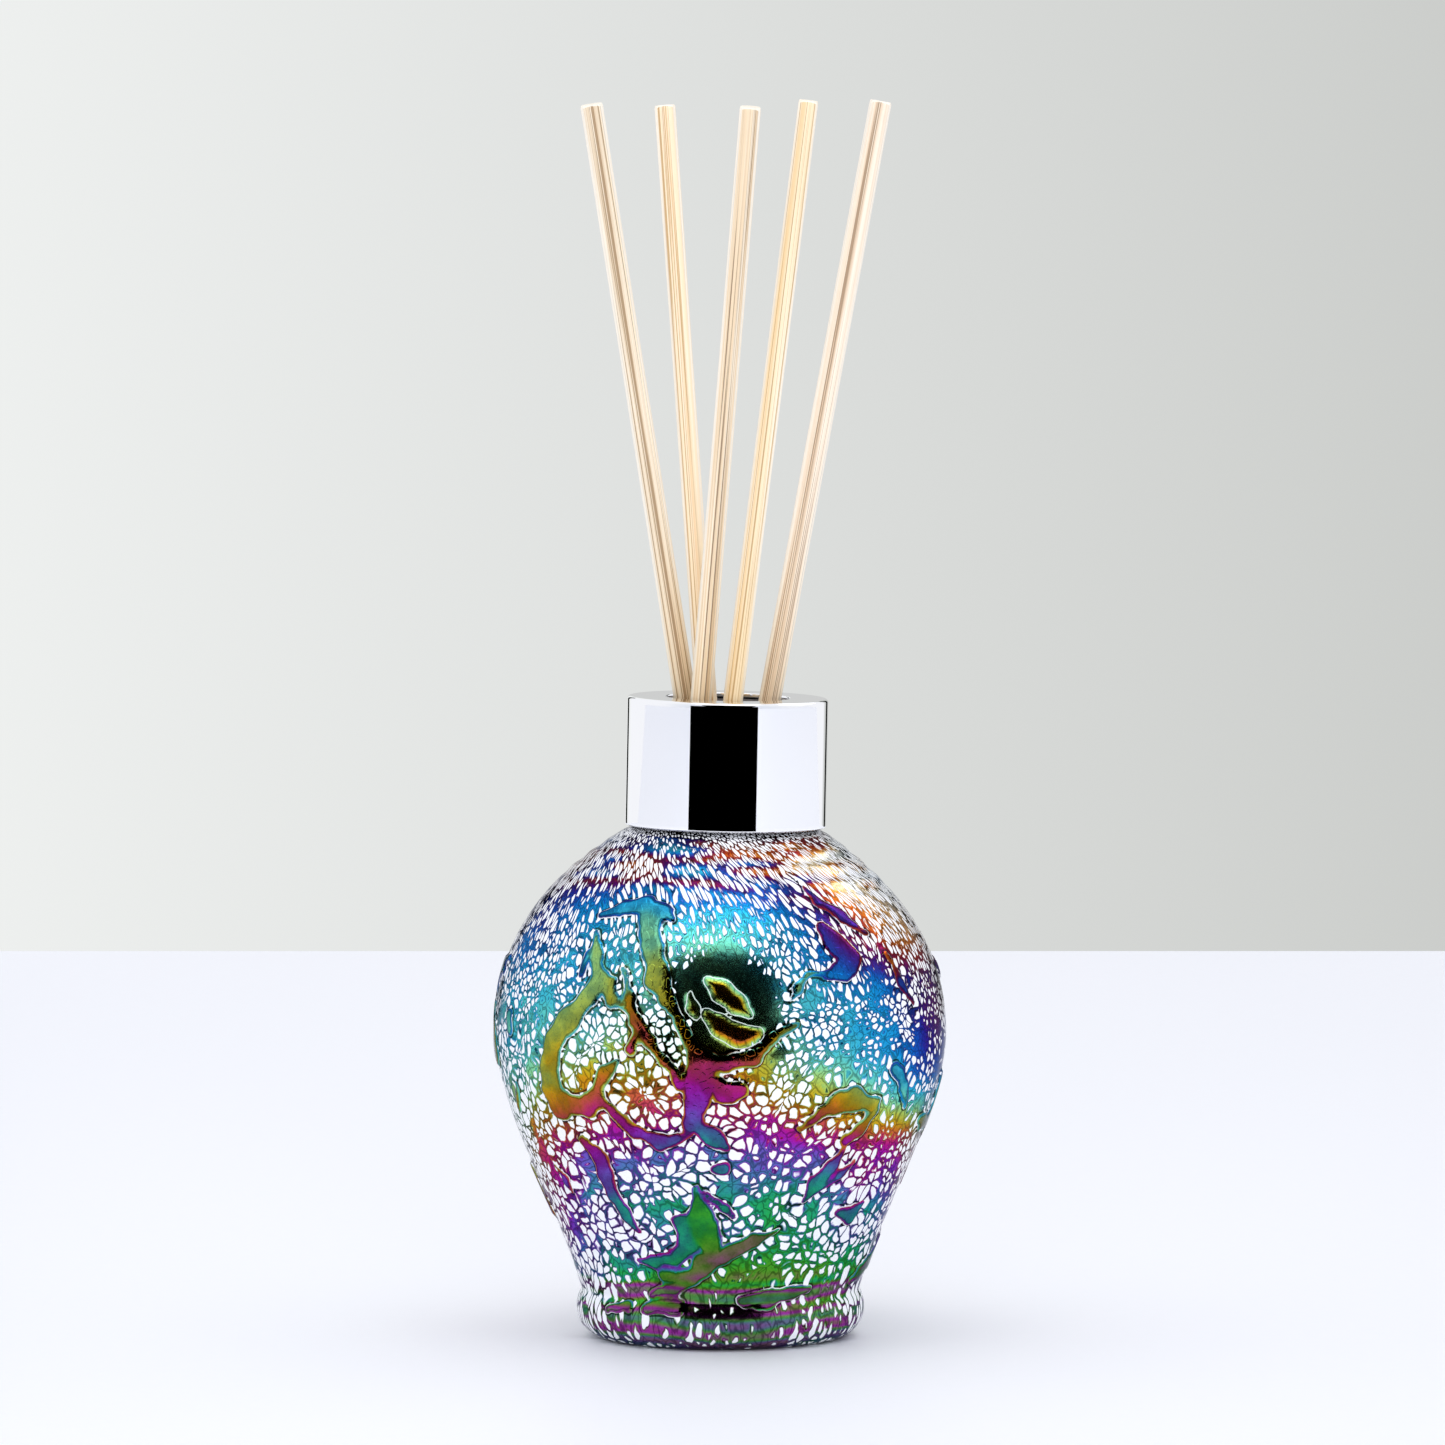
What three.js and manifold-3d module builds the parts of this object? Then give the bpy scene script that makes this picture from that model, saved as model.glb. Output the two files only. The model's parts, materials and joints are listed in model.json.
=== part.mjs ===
// Reed diffuser: a hand-blown glass bottle with a screw-on chromed collar and five loose reeds.
// Millimetres, +Z up. Origin at the centre of the foot's contact plane, front towards -Y.

import * as THREE from 'three';
import { mergeVertices } from 'three/addons/utils/BufferGeometryUtils.js';
import Module from 'manifold-3d';

const wasm = await Module();
wasm.setup();

// ---------------------------------------------------------------- driving dimensions

const CLEARANCE = 0.3;               // free gap between pieces that touch or run on each other

const FOOT = { hollowRadius: 13, innerRadius: 14.5, contactRadius: 19, radius: 24, height: 5, hollowDepth: 1.4 };
const CREASE = { radius: 23.2, height: 8 };           // groove between foot ring and body
const BELLY = { radius: 37.6, height: 50.8 };         // widest part of the body
const SHOULDER = { radius: 17.1, height: 84.4 };      // where the glass goes in under the collar
const WALL = 3.4;                                     // glass thickness at the belly
const FLOOR = { radius: 14, height: 7.5 };            // inside floor

const NECK = { height: 85.5, offset: 0.8, tilt: THREE.MathUtils.degToRad(1.1) };  // leaning neck
const NECK_BORE = 10.3;
const NECK_OUTER = 12.1;

const COLLAR = { radius: 16.75, height: 21.5, hole: 10.33, wall: 1.0, top: 0.7, edge: 0.6 };
const THREAD = { pitch: 4.233, turns: 1.25, height: 0.9, baseWidth: 1.8, crestWidth: 1.0, start: 6.2 };
const FERRULE = { wall: 0.8, bottom: 3.2 };
const INSERT = { wall: 1.05, flange: 1.2, bottom: 1.4, hole: 10.6 };
const WASHER = { hole: 10.7, radius: 14.0, thickness: 1.0 };

const MOUTH_HEIGHT = NECK.height + COLLAR.height;
// Each reed is cut to about 200. Its axis meets the inside floor and crosses the plane of the mouth here.
const REEDS = [
  { length: 200.5, radius: 1.80, floor: [9.6, 9.35], mouth: [-5.95, 1.53], color: 0xd9c39b },
  { length: 198.2, radius: 1.67, floor: [4.6, -6.98], mouth: [-2.37, -1.23], color: 0xe3c98f },
  { length: 199.3, radius: 1.70, floor: [-11.5, 5.34], mouth: [-3.23, -6.39], color: 0xb9a183 },
  { length: 200.0, radius: 1.65, floor: [-10.4, -3.76], mouth: [2.08, -7.91], color: 0xdfc48a },
  { length: 201.3, radius: 1.85, floor: [-10.1, 0.34], mouth: [8.31, 0.63], color: 0xd6b58e },
];

// Heights along the neck's own axis, measured from the collar's lower edge.
const INSERT_TOP = COLLAR.height - COLLAR.top - CLEARANCE;
const WASHER_TOP = INSERT_TOP - INSERT.flange - CLEARANCE;
const LIP_HEIGHT = WASHER_TOP - WASHER.thickness - CLEARANCE;

// Radii of the screwed joint, from the glass outwards.
const FERRULE_BORE = NECK_OUTER + CLEARANCE;
const FERRULE_ROOT = FERRULE_BORE + FERRULE.wall;
const FERRULE_CREST = FERRULE_ROOT + THREAD.height;
const INSERT_ROOT = FERRULE_CREST + CLEARANCE;
const INSERT_CREST = INSERT_ROOT - THREAD.height;
const INSERT_OUTER = INSERT_ROOT + INSERT.wall;

// Facets: every ring's count divides by four, so that it has a vertex on each axis.
const BODY_FACETS = 40;
const COLLAR_FACETS = 48;
const THREAD_STEPS_PER_TURN = 36;
const REED_FACETS = 12;

// ---------------------------------------------------------------- geometry helpers

function toManifold(geometry) {
  const bare = geometry.clone();
  bare.deleteAttribute('normal');
  bare.deleteAttribute('uv');
  const merged = mergeVertices(bare, 1e-4);
  return new wasm.Manifold(new wasm.Mesh({
    numProp: 3,
    vertProperties: new Float32Array(merged.attributes.position.array),
    triVerts: new Uint32Array(merged.index.array),
  }));
}

function toGeometry(manifold) {
  const mesh = manifold.getMesh();
  const geometry = new THREE.BufferGeometry();
  geometry.setAttribute('position', new THREE.BufferAttribute(mesh.vertProperties, 3));
  geometry.setIndex(new THREE.BufferAttribute(mesh.triVerts, 1));
  geometry.computeVertexNormals();
  return geometry;
}

// Turns a closed (radius, height) outline about +Z. LatheGeometry turns about +Y, so it is stood up.
function lathe(points, facets) {
  const geometry = new THREE.LatheGeometry(points, facets);
  geometry.rotateX(Math.PI / 2);
  return geometry;
}

// Long sweeps get six steps, small fillets three and straight stretches one.
function samplePath(path) {
  return path.curves.flatMap((curve, index) => {
    const steps = curve.isCubicBezierCurve ? 6 : 3;
    const points = curve.getPoints(curve.isLineCurve ? 1 : steps);
    return index === 0 ? points : points.slice(1);
  });
}

function moveVertices(geometry, mapping) {
  const position = geometry.attributes.position;
  const point = new THREE.Vector3();
  for (let i = 0; i < position.count; i += 1) {
    point.fromBufferAttribute(position, i);
    mapping(point);
    position.setXYZ(i, point.x, point.y, point.z);
  }
  geometry.computeVertexNormals();
  return geometry;
}

// ---------------------------------------------------------------- bottle

// The centre line stands upright to the belly, then eases over into the leaning neck's axis.
function centreLine(height) {
  if (height <= BELLY.height) {
    return { x: 0, z: height, tilt: 0 };
  }
  if (height >= NECK.height) {
    const along = height - NECK.height;
    return {
      x: NECK.offset + along * Math.sin(NECK.tilt),
      z: NECK.height + along * Math.cos(NECK.tilt),
      tilt: NECK.tilt,
    };
  }
  const span = NECK.height - BELLY.height;
  const t = (height - BELLY.height) / span;
  const endSlope = Math.tan(NECK.tilt);
  const x = NECK.offset * (3 * t * t - 2 * t ** 3) + endSlope * span * (t ** 3 - t * t);
  const slope = (NECK.offset * 6 * (t - t * t)) / span + endSlope * (3 * t * t - 2 * t);
  return { x, z: height, tilt: Math.atan(slope) };
}

function leanWithNeck(point) {
  const centre = centreLine(point.z);
  const across = point.x;
  point.x = centre.x + across * Math.cos(centre.tilt);
  point.z = centre.z - across * Math.sin(centre.tilt);
}

function bottleOutline() {
  const lip = NECK.height + LIP_HEIGHT;
  const lipEdge = 0.5;
  const outline = new THREE.Path();
  outline.moveTo(0, FOOT.hollowDepth);
  outline.lineTo(FOOT.hollowRadius, FOOT.hollowDepth);
  outline.quadraticCurveTo(FOOT.innerRadius, FOOT.hollowDepth, FOOT.innerRadius, 0);
  outline.lineTo(FOOT.contactRadius, 0);
  outline.bezierCurveTo(FOOT.contactRadius + 2.9, 0, FOOT.radius, 2.2, FOOT.radius, FOOT.height);
  outline.quadraticCurveTo(FOOT.radius, 7, CREASE.radius, CREASE.height);
  outline.bezierCurveTo(27.1, 21.8, BELLY.radius, 38.6, BELLY.radius, BELLY.height);
  outline.bezierCurveTo(BELLY.radius, 63.6, 32.6, 74.2, SHOULDER.radius, SHOULDER.height);
  outline.quadraticCurveTo(NECK_OUTER, 86.6, NECK_OUTER, 89.6);
  outline.lineTo(NECK_OUTER, lip - lipEdge);
  outline.quadraticCurveTo(NECK_OUTER, lip, NECK_OUTER - lipEdge, lip);
  outline.lineTo(NECK_BORE + lipEdge, lip);
  outline.quadraticCurveTo(NECK_BORE, lip, NECK_BORE, lip - lipEdge);
  outline.lineTo(NECK_BORE, 88.5);
  outline.quadraticCurveTo(NECK_BORE, 84.4, 16.5, 80.6);
  outline.bezierCurveTo(29.8, 72, BELLY.radius - WALL, 62.5, BELLY.radius - WALL, BELLY.height);
  outline.bezierCurveTo(BELLY.radius - WALL, 38.8, 24.2, 24, 20.3, 13);
  outline.quadraticCurveTo(18.6, FLOOR.height, FLOOR.radius, FLOOR.height);
  outline.lineTo(0, FLOOR.height);
  return samplePath(outline);
}

function bottle() {
  return moveVertices(lathe(bottleOutline(), BODY_FACETS), leanWithNeck);
}

// ---------------------------------------------------------------- screw thread

// A ridge of trapezoid section, wound along a right-hand helix. It fades into its wall at both ends.
// side is +1 for a ridge that stands outwards from the wall, -1 for one that stands inwards.
function threadRidge(wallRadius, side, startHeight) {
  const embed = 0.35;
  const section = new THREE.Shape();
  section.moveTo(-embed, -THREAD.baseWidth / 2);
  section.lineTo(0, -THREAD.baseWidth / 2);
  section.lineTo(THREAD.height, -THREAD.crestWidth / 2);
  section.lineTo(THREAD.height, THREAD.crestWidth / 2);
  section.lineTo(0, THREAD.baseWidth / 2);
  section.lineTo(-embed, THREAD.baseWidth / 2);
  section.closePath();

  const sweep = THREAD.turns * 2 * Math.PI;
  const fade = THREE.MathUtils.degToRad(25);
  const ridge = new THREE.ExtrudeGeometry(section, {
    depth: sweep,
    steps: Math.round(THREAD.turns * THREAD_STEPS_PER_TURN),
    bevelEnabled: false,
  });
  moveVertices(ridge, (point) => {
    const angle = side > 0 ? sweep - point.z : point.z;
    const full = THREE.MathUtils.clamp(Math.min(angle, sweep - angle) / fade, 0.1, 1);
    const radius = wallRadius + side * (point.x > 0 ? point.x * full : point.x);
    const height = startHeight + point.y + (THREAD.pitch * angle) / (2 * Math.PI);
    point.set(radius * Math.cos(angle), radius * Math.sin(angle), height);
  });
  return ridge;
}

function neckFerrule() {
  const sleeve = lathe([
    new THREE.Vector2(FERRULE_BORE, FERRULE.bottom),
    new THREE.Vector2(FERRULE_ROOT, FERRULE.bottom),
    new THREE.Vector2(FERRULE_ROOT, LIP_HEIGHT),
    new THREE.Vector2(FERRULE_BORE, LIP_HEIGHT),
    new THREE.Vector2(FERRULE_BORE, FERRULE.bottom),
  ], COLLAR_FACETS);
  const ridge = threadRidge(FERRULE_ROOT, 1, THREAD.start);
  return toGeometry(toManifold(sleeve).add(toManifold(ridge)));
}

// ---------------------------------------------------------------- collar

function collarInsert() {
  const cup = lathe([
    new THREE.Vector2(INSERT_ROOT, INSERT.bottom),
    new THREE.Vector2(INSERT_OUTER, INSERT.bottom),
    new THREE.Vector2(INSERT_OUTER, INSERT_TOP),
    new THREE.Vector2(INSERT.hole, INSERT_TOP),
    new THREE.Vector2(INSERT.hole, INSERT_TOP - INSERT.flange),
    new THREE.Vector2(INSERT_ROOT, INSERT_TOP - INSERT.flange),
    new THREE.Vector2(INSERT_ROOT, INSERT.bottom),
  ], COLLAR_FACETS);
  const ridge = threadRidge(INSERT_ROOT, -1, THREAD.start - THREAD.pitch / 2);
  return toGeometry(toManifold(cup).add(toManifold(ridge)));
}

function collarShell() {
  const { radius, height, hole, wall, top, edge } = COLLAR;
  const outline = new THREE.Path();
  outline.moveTo(radius - wall, 0.2);
  outline.lineTo(radius - wall + 0.2, 0);
  outline.lineTo(radius - 0.3, 0);
  outline.quadraticCurveTo(radius, 0, radius, 0.3);
  outline.lineTo(radius, height - edge);
  outline.absarc(radius - edge, height - edge, edge, 0, Math.PI / 2, false);
  outline.lineTo(hole + 0.2, height);
  outline.lineTo(hole, height - 0.2);
  outline.lineTo(hole, height - top);
  outline.lineTo(radius - wall, height - top);
  outline.lineTo(radius - wall, 0.2);
  return lathe(samplePath(outline), COLLAR_FACETS);
}

function collarWasher() {
  const bottom = WASHER_TOP - WASHER.thickness;
  return lathe([
    new THREE.Vector2(WASHER.hole, bottom),
    new THREE.Vector2(WASHER.radius, bottom),
    new THREE.Vector2(WASHER.radius, WASHER_TOP),
    new THREE.Vector2(WASHER.hole, WASHER_TOP),
    new THREE.Vector2(WASHER.hole, bottom),
  ], COLLAR_FACETS);
}

// ---------------------------------------------------------------- reeds

// A reed stands on the inside floor, held clear of it by its own slanted end, and leans on the mouth.
function placeReed(mesh, reed) {
  const floor = new THREE.Vector3(...reed.floor, FLOOR.height);
  const mouth = new THREE.Vector3(...reed.mouth, MOUTH_HEIGHT);
  const axis = mouth.clone().sub(floor).normalize();
  const cornerDrop = reed.radius * Math.sqrt(1 - axis.z * axis.z);
  const lift = (CLEARANCE + cornerDrop) / axis.z;
  mesh.quaternion.setFromUnitVectors(new THREE.Vector3(0, 0, 1), axis);
  mesh.position.copy(floor).addScaledVector(axis, lift);
}

function reedRod({ length, radius }) {
  const chamfer = 0.2;
  return lathe([
    new THREE.Vector2(0, 0),
    new THREE.Vector2(radius - chamfer, 0),
    new THREE.Vector2(radius, chamfer),
    new THREE.Vector2(radius, length - chamfer),
    new THREE.Vector2(radius - chamfer, length),
    new THREE.Vector2(0, length),
  ], REED_FACETS);
}

// ---------------------------------------------------------------- assembly

function piece(name, geometry, color, roughness, metalness) {
  const mesh = new THREE.Mesh(geometry, new THREE.MeshStandardMaterial({ color, roughness, metalness }));
  mesh.name = name;
  return mesh;
}

const diffuser = new THREE.Group();
diffuser.add(piece('glass_bottle', bottle(), 0x8fa8c8, 0.12, 0.3));

const neck = new THREE.Group();
neck.position.set(NECK.offset, 0, NECK.height);
neck.rotation.y = NECK.tilt;
neck.add(piece('neck_ferrule', neckFerrule(), 0xb8bcc0, 0.35, 1));
neck.add(piece('collar_insert', collarInsert(), 0xb4b4b8, 0.5, 0));
neck.add(piece('collar_shell', collarShell(), 0xe6e8ea, 0.05, 1));
neck.add(piece('collar_washer', collarWasher(), 0xe8e6e0, 0.7, 0));
diffuser.add(neck);

REEDS.forEach((reed, index) => {
  const mesh = piece(`reed_${index + 1}`, reedRod(reed), reed.color, 0.75, 0);
  placeReed(mesh, reed);
  diffuser.add(mesh);
});

export default diffuser;
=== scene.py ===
import json
import math

import bpy
import numpy as np
from mathutils import Matrix, Vector, noise


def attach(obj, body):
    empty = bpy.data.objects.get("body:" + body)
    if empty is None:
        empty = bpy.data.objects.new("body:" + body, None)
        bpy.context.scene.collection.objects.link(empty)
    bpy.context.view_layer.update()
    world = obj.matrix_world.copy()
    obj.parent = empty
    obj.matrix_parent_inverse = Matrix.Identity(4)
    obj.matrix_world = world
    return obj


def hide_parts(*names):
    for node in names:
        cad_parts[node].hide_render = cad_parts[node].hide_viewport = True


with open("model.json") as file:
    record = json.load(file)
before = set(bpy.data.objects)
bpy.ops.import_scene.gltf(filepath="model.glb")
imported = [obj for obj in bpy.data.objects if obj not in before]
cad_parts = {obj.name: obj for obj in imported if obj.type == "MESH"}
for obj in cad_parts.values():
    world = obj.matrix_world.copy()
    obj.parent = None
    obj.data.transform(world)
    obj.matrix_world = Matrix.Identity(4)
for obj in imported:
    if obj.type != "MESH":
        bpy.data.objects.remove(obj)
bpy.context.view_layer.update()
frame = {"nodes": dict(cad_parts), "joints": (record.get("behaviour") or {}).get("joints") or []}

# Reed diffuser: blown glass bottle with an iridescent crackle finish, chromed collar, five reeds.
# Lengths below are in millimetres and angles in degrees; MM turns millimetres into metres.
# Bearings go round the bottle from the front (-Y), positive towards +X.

MM = 0.001
JOINTS = {joint["name"]: joint for joint in frame["joints"]}


# ---- frame and dimensions

def node_points(name):
    """A CAD node's vertices in millimetres."""
    return np.array([vertex.co for vertex in frame["nodes"][name].data.vertices]) / MM


COLLAR_AXIS = Vector(JOINTS["collar_turn"]["axis"]).normalized()
NECK_FOOT = Vector(JOINTS["collar_turn"]["pos_m"]) / MM      # where the neck's axis leaves the shoulder
NECK_TILT = math.atan2(COLLAR_AXIS.x, COLLAR_AXIS.z)
NECK_HEIGHT = NECK_FOOT.z
NECK_TURN = Matrix.Rotation(NECK_TILT, 3, "Y")

# Radius and height of the places that the bottle's outline goes through, and its other dimensions.
HOLLOW = (13.0, 1.4)                 # under the foot
CREASE = (23.2, 8.0)                 # groove between foot ring and body
BELLY = (37.6, 50.8)                 # widest part
SHOULDER = (17.1, 84.4)              # under the collar
FLOOR = (14.0, 7.5)                  # inside
FOOT_INNER, FOOT_CONTACT, FOOT_RADIUS, FOOT_HEIGHT = 14.5, 19.0, 24.0, 5.0
WALL = 3.4
NECK_OUTER, NECK_BORE = 12.1, 10.3
NECK_START = 89.6                    # where the neck gets straight
LIP_HEIGHT = 103.0


def about_neck(name):
    """A CAD node's heights along the neck's axis, from the collar's lower edge, and radii about it."""
    axis = np.array(COLLAR_AXIS)
    offsets = node_points(name) - np.array(NECK_FOOT)
    heights = offsets @ axis
    return heights, np.linalg.norm(offsets - heights[:, None] * axis, axis=1)


# ---- curves and meshes

def bezier(*points, steps):
    """Points on a quadratic or cubic Bezier curve, its first point left out."""
    t = np.linspace(0, 1, steps + 1)[1:, None]
    levels = [np.array(point, float) for point in points]
    while len(levels) > 1:
        levels = [a * (1 - t) + b * t for a, b in zip(levels, levels[1:])]
    return levels[0]


def evenly(points, spacing):
    """The same outline with its points spread evenly along it."""
    lengths = np.concatenate([[0], np.cumsum(np.hypot(*np.diff(points, axis=0).T))])
    count = max(2, int(round(lengths[-1] / spacing)) + 1)
    places = np.linspace(0, lengths[-1], count)
    return np.stack([np.interp(places, lengths, points[:, k]) for k in (0, 1)], axis=1)


def smooth_mesh(name, points, faces):
    """A smooth-shaded mesh object. Points are in millimetres in the row frame."""
    mesh = bpy.data.meshes.new(name)
    mesh.from_pydata((np.asarray(points) * MM).tolist(), [], faces)
    mesh.polygons.foreach_set("use_smooth", [True] * len(mesh.polygons))
    mesh.update()
    piece = bpy.data.objects.new(name, mesh)
    bpy.context.scene.collection.objects.link(piece)
    return piece


def grid_faces(rows, columns, close_rows=False):
    """Quads of a grid that is closed round its columns, facing away from the axis as rows go up."""
    faces = []
    for row in range(rows if close_rows else rows - 1):
        low = row * columns
        high = ((row + 1) % rows) * columns
        for column in range(columns):
            after = (column + 1) % columns
            faces.append((low + column, low + after, high + after, high + column))
    return faces


def body_faces(rings, columns):
    """Faces of a closed body: rings joined by quads, and a fan to a pole at either end.

    The poles are the two points after the rings, the lower one first.
    """
    faces = grid_faces(rings, columns)
    low_pole, last = rings * columns, (rings - 1) * columns
    for column in range(columns):
        after = (column + 1) % columns
        faces.append((low_pole, after, column))
        faces.append((low_pole + 1, last + column, last + after))
    return faces


def bearings(columns):
    """Angles round the axis, in radians, and the unit vectors there. Bearing 0 is the front."""
    angles = np.arange(columns) * 2 * math.pi / columns
    return angles, np.sin(angles), -np.cos(angles)


def to_neck(points):
    """Points built upright about +Z, from height 0, put on the neck's axis."""
    turned = np.asarray(points) @ np.array(NECK_TURN).T
    return turned + np.array(NECK_FOOT)


def ring_points(outline, columns):
    """Points of rings turned about +Z, one ring for each (radius, height) of the outline."""
    _, east, north = bearings(columns)
    return np.concatenate([np.stack([radius * east, radius * north, np.full(columns, height)], axis=1)
                           for radius, height in outline])


def attribute(piece, name, values):
    """Stores one number, or one vector, for each point of a mesh."""
    values = np.asarray(values, float)
    kind, field = ("FLOAT", "value") if values.ndim == 1 else ("FLOAT_VECTOR", "vector")
    layer = piece.data.attributes.new(name, kind, "POINT")
    layer.data.foreach_set(field, values.ravel())


def smoothstep(low, high, value):
    """0 at low and before it, 1 at high and beyond it; high may be the smaller of the two."""
    t = np.clip((value - low) / (high - low), 0, 1)
    return t * t * (3 - 2 * t)


def zone(value, begin, full, last, end):
    """1 between full and last, and 0 before begin and beyond end."""
    return smoothstep(begin, full, value) * smoothstep(end, last, value)


SEED_STEPS = (17.3, 5.1, 9.7)        # how far the noise moves along each axis from seed to seed


def wander(points, wavelength, seed):
    """Smooth noise between about -1 and 1 at each point."""
    shift = Vector([seed * step for step in SEED_STEPS])
    scale = 1 / wavelength
    return np.array([noise.noise(Vector(point) * scale + shift) for point in points])


# ---- node graphs

class Graph:
    """The node tree of a material, or of the world, built up by short calls."""

    def __init__(self, owner, output="OutputMaterial"):
        owner.use_nodes = True
        self.owner = owner
        self.tree = owner.node_tree
        self.tree.nodes.clear()
        self.output = self.node(output)

    @classmethod
    def material(cls, name):
        return cls(bpy.data.materials.new(name))

    def put(self, socket, value):
        if isinstance(value, bpy.types.NodeSocket):
            self.tree.links.new(value, socket)
        elif value is not None:
            socket.default_value = value

    def node(self, kind, inputs=None, **settings):
        node = self.tree.nodes.new("ShaderNode" + kind)
        for key, value in settings.items():
            setattr(node, key, value)
        for key, value in (inputs or {}).items():
            self.put(node.inputs[key], value)
        return node

    def math(self, operation, a, b=None, c=None):
        node = self.node("Math", operation=operation)
        for socket, value in zip(node.inputs, (a, b, c)):
            self.put(socket, value)
        return node.outputs[0]

    def times(self, product, *factors):
        for factor in factors:
            product = self.math("MULTIPLY", product, factor)
        return product

    def vector(self, operation, a, b=None, scale=None):
        node = self.node("VectorMath", operation=operation)
        self.put(node.inputs[0], a)
        self.put(node.inputs[1], b)
        if scale is not None:
            self.put(node.inputs["Scale"], scale)
        return node.outputs[0]

    def ramp(self, value, low, high, to_low=0.0, to_high=1.0, kind="SMOOTHSTEP"):
        """value between low and high, turned into to_low to to_high; kind LINEAR isn't smoothed."""
        node = self.node("MapRange", interpolation_type=kind)
        for key, number in (("Value", value), ("From Min", low), ("From Max", high),
                            ("To Min", to_low), ("To Max", to_high)):
            self.put(node.inputs[key], number)
        return node.outputs[0]

    def mix(self, factor, a, b, kind="MIX"):
        """Colour a turned into colour b, or with kind MULTIPLY into their product, by factor."""
        node = self.node("Mix", data_type="RGBA", blend_type=kind)
        self.put(node.inputs["Factor"], factor)
        self.put(node.inputs[6], a)
        self.put(node.inputs[7], b)
        return node.outputs[2]

    def blend(self, factor, a, b):
        """Number a turned into number b by factor."""
        node = self.node("Mix", data_type="FLOAT")
        self.put(node.inputs[0], factor)
        self.put(node.inputs[2], a)
        self.put(node.inputs[3], b)
        return node.outputs[0]

    def noise(self, vector, scale, detail=2.0, roughness=0.5, output="Fac"):
        inputs = {"Vector": vector, "Scale": scale, "Detail": detail, "Roughness": roughness}
        return self.node("TexNoise", inputs).outputs[output]

    def read(self, name, output="Fac"):
        """One of the numbers or vectors stored by attribute()."""
        return self.node("Attribute", attribute_name=name).outputs[output]

    def place(self):
        """Place on the object, in metres."""
        return self.node("TexCoord").outputs["Object"]

    def bump(self, height, strength, distance, normal=None):
        inputs = {"Height": height, "Strength": strength, "Distance": distance, "Normal": normal}
        return self.node("Bump", inputs).outputs[0]

    def finish(self, **inputs):
        """Ends the material with one Principled shader. Underscores in names stand for spaces."""
        shader = self.node("BsdfPrincipled")
        for key, value in inputs.items():
            self.put(shader.inputs[key.replace("_", " ")], value)
        self.tree.links.new(shader.outputs[0], self.output.inputs[0])
        return self.owner


# ---- glass: shape

COLUMNS = 360            # points in a ring of the bottle
SKIN_SPACING = 0.47      # between its rings, outside


def bottle_outline():
    """The outline from the middle of the foot's hollow, up the outside and down the inside."""
    hollow_radius, hollow_depth = HOLLOW
    belly_radius, belly_height = BELLY
    floor_radius, floor_height = FLOOR
    inside = belly_radius - WALL
    low_inside, high_inside = (20.3, 13), (16.5, 80.6)
    contact, foot = (FOOT_CONTACT, 0), (FOOT_RADIUS, FOOT_HEIGHT)
    under = [(0, hollow_depth), (hollow_radius / 2, hollow_depth), (hollow_radius, hollow_depth)]
    under += [(14.1, 1.0), (FOOT_INNER, 0), (16.7, 0)]
    skin = [contact]
    skin += list(bezier(contact, (21.9, 0), (FOOT_RADIUS, 2.2), foot, steps=40))
    skin += list(bezier(foot, (FOOT_RADIUS, 7), CREASE, steps=20))
    skin += list(bezier(CREASE, (27.1, 21.8), (belly_radius, 38.6), BELLY, steps=200))
    skin += list(bezier(BELLY, (belly_radius, 63.6), (32.6, 74.2), SHOULDER, steps=200))
    skin += list(bezier(SHOULDER, (NECK_OUTER, 86.6), (NECK_OUTER, NECK_START), steps=40))
    skin = list(evenly(np.array(skin), SKIN_SPACING))
    neck = [(NECK_OUTER, 96), (NECK_OUTER, LIP_HEIGHT - 0.5), (NECK_OUTER - 0.15, LIP_HEIGHT - 0.15)]
    neck += [(NECK_OUTER - 0.5, LIP_HEIGHT), (NECK_BORE + 0.5, LIP_HEIGHT)]
    neck += [(NECK_BORE + 0.15, LIP_HEIGHT - 0.15), (NECK_BORE, LIP_HEIGHT - 0.5), (NECK_BORE, 88.5)]
    hollow = list(bezier((NECK_BORE, 88.5), (NECK_BORE, 84.4), high_inside, steps=4))
    hollow += list(bezier(high_inside, (29.8, 72), (inside, 62.5), (inside, belly_height), steps=7))
    hollow += list(bezier((inside, belly_height), (inside, 38.8), (24.2, 24), low_inside, steps=7))
    hollow += list(bezier(low_inside, (18.6, floor_height), FLOOR, steps=3))
    hollow += [(floor_radius / 2, floor_height), (0, floor_height)]
    return np.array(under), np.array(skin), np.array(neck + hollow)


def centre_line(heights):
    """Place and tilt of the bottle's centre line: upright to the belly, then over to the neck."""
    span = NECK_HEIGHT - BELLY[1]
    t = np.clip((heights - BELLY[1]) / span, 0, 1)
    slope = math.tan(NECK_TILT)
    x = NECK_FOOT.x * (3 * t**2 - 2 * t**3) + slope * span * (t**3 - t**2)
    tilt = np.arctan(NECK_FOOT.x * 6 * (t - t**2) / span + slope * (3 * t**2 - 2 * t))
    past = np.clip(heights - NECK_HEIGHT, 0, None)
    x = x + past * math.sin(NECK_TILT)
    z = heights - past * (1 - math.cos(NECK_TILT))
    return x, z, tilt


def lean(points):
    """Bends upright points with the bottle's centre line."""
    x, z, tilt = centre_line(points[:, 2])
    bent = points.copy()
    bent[:, 0] = x + points[:, 0] * np.cos(tilt)
    bent[:, 2] = z - points[:, 0] * np.sin(tilt)
    return bent


# ---- glass: lustre trails

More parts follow.
